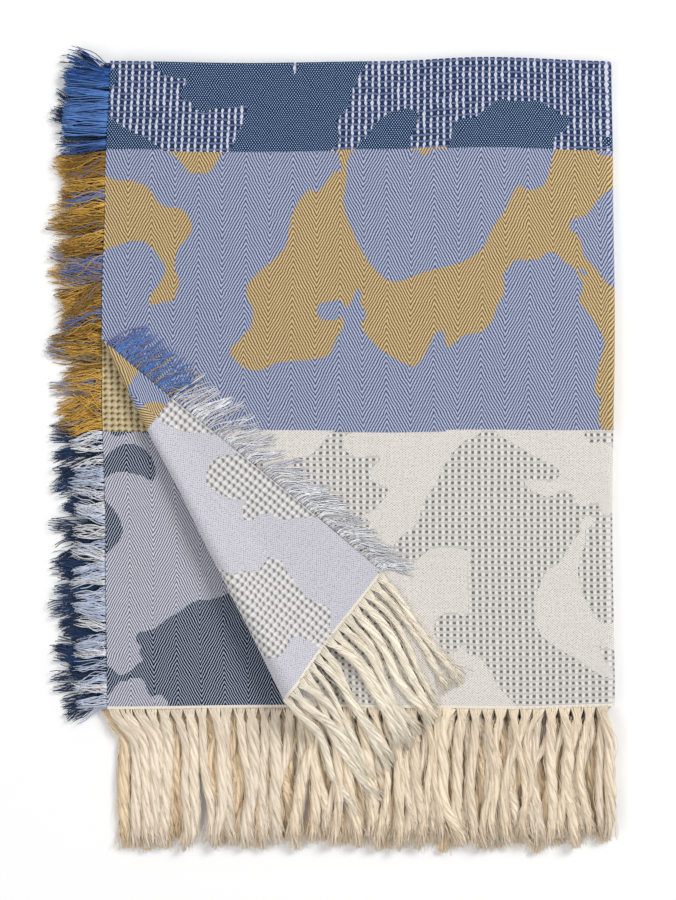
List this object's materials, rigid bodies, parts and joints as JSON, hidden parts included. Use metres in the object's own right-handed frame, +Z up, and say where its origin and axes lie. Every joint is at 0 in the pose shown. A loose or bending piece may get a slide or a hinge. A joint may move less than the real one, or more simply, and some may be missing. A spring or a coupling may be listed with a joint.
{
  "type": "throw blanket",
  "caption": "Woven throw blanket folded in quarters and lying flat, fringed on all its edges, with one top corner turned back",
  "frame": {"origin": "centre of the bounding box at the level that the throw lies on", "axes": "+Z up, +Y from the edge with the long fringe to the fold at the back, +X from the side with the short fringe to the fold at the right"},
  "size_m": [0.6698, 0.9284, 0.0506],
  "materials": {
    "cloth": "soft matt weave",
    "end_fringe": "soft matt yarn",
    "side_fringe": "soft matt yarn"
  },
  "bodies": {
    "root": {"throw_cloth": "cloth", "end_fringe_front": "end_fringe", "end_fringe_back": "end_fringe", "side_fringe_left": "side_fringe", "side_fringe_right": "side_fringe"}
  },
  "joints": []
}
